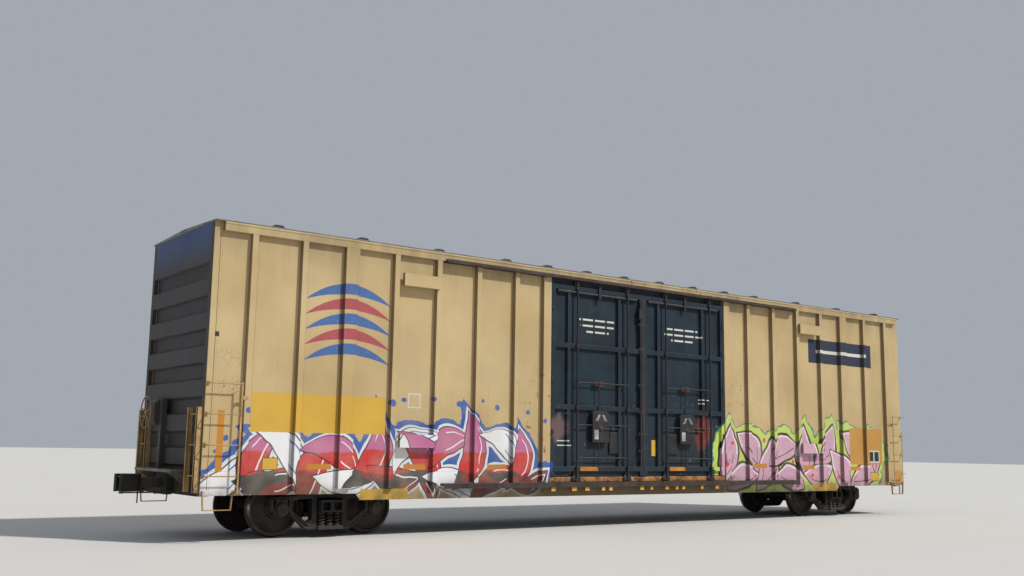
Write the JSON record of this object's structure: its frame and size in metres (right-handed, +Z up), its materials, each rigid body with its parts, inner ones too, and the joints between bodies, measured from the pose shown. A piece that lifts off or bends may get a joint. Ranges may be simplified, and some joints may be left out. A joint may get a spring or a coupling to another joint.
{
  "type": "railroad boxcar",
  "caption": "High-cube railroad boxcar with sliding plug doors on both sides, corner ladders and swivelling three-piece trucks, for enclosed bulk loads.",
  "frame": {"origin": "middle of the car on the plane under the wheel flanges", "axes": "+X along the car towards the A end, -Y the near side, +Z up"},
  "size_m": [20.6, 3.24, 5.1914],
  "materials": {
    "body_paint": "aged semi-gloss tan-yellow paint",
    "cast_steel": "dusty rough casting",
    "door_paint": "aged matt navy paint",
    "galvanized_steel": "dull galvanized",
    "roof_coating": "weathered galvanized coating",
    "track_steel": "worn dark paint with rust",
    "truck_fittings": "dusty rough steel",
    "underframe_black": "matt black paint with dust",
    "wheel_steel": "rusty brown with bright treads"
  },
  "bodies": {
    "car_body": {"air_reservoir": "underframe_black", "body_bolsters": "underframe_black", "brake_cylinder": "underframe_black", "brake_rods": "underframe_black", "centre_plates": "underframe_black", "centre_sill": "underframe_black", "control_valve": "underframe_black", "corner_posts": "body_paint", "couplers": "cast_steel", "cross_bearers": "underframe_black", "crossover_platforms": "galvanized_steel", "door_far_left": "door_paint", "door_far_right": "door_paint", "door_gear_boxes": "door_paint", "door_lock_pipes": "door_paint", "door_near_left": "door_paint", "door_near_right": "door_paint", "door_operating_rods": "door_paint", "door_stops": "body_paint", "end_ladders": "body_paint", "end_sills": "underframe_black", "end_wall_a": "body_paint", "end_wall_b": "body_paint", "floor": "underframe_black", "hand_brake_housing": "body_paint", "hand_brake_wheel": "galvanized_steel", "knuckles": "cast_steel", "lower_door_tracks": "track_steel", "roof": "roof_coating", "side_ladders": "body_paint", "side_plates": "body_paint", "side_posts": "body_paint", "side_sheets": "body_paint", "side_sills": "body_paint", "sill_steps": "body_paint", "train_pipe": "underframe_black", "uncoupling_levers": "underframe_black", "upper_door_tracks": "track_steel"},
    "truck_b": {"side_frames_b": "cast_steel", "truck_bolster_b": "cast_steel", "springs_b": "truck_fittings", "bearings_b": "truck_fittings", "brake_beams_b": "truck_fittings"},
    "truck_a": {"side_frames_a": "cast_steel", "truck_bolster_a": "cast_steel", "springs_a": "truck_fittings", "bearings_a": "truck_fittings", "brake_beams_a": "truck_fittings"},
    "wheelset_1": {"axle_1": "wheel_steel", "wheels_1": "wheel_steel"},
    "wheelset_2": {"axle_2": "wheel_steel", "wheels_2": "wheel_steel"},
    "wheelset_3": {"axle_3": "wheel_steel", "wheels_3": "wheel_steel"},
    "wheelset_4": {"axle_4": "wheel_steel", "wheels_4": "wheel_steel"}
  },
  "joints": [
    {"name": "truck_b_swivel", "type": "hinge", "parent": "car_body", "child": "truck_b", "pos_m": [-7, 0, 0.6794], "axis": [0, 0, 1], "range_deg": [-8, 8]},
    {"name": "truck_a_swivel", "type": "hinge", "parent": "car_body", "child": "truck_a", "pos_m": [7, 0, 0.6794], "axis": [0, 0, 1], "range_deg": [-8, 8]},
    {"name": "wheelset_1_spin", "type": "hinge", "parent": "truck_b", "child": "wheelset_1", "pos_m": [-7.889, 0, 0.4826], "axis": [0, 1, 0], "continuous": true},
    {"name": "wheelset_2_spin", "type": "hinge", "parent": "truck_b", "child": "wheelset_2", "pos_m": [-6.111, 0, 0.4826], "axis": [0, 1, 0], "continuous": true},
    {"name": "wheelset_3_spin", "type": "hinge", "parent": "truck_a", "child": "wheelset_3", "pos_m": [6.111, 0, 0.4826], "axis": [0, 1, 0], "continuous": true},
    {"name": "wheelset_4_spin", "type": "hinge", "parent": "truck_a", "child": "wheelset_4", "pos_m": [7.889, 0, 0.4826], "axis": [0, 1, 0], "continuous": true}
  ]
}
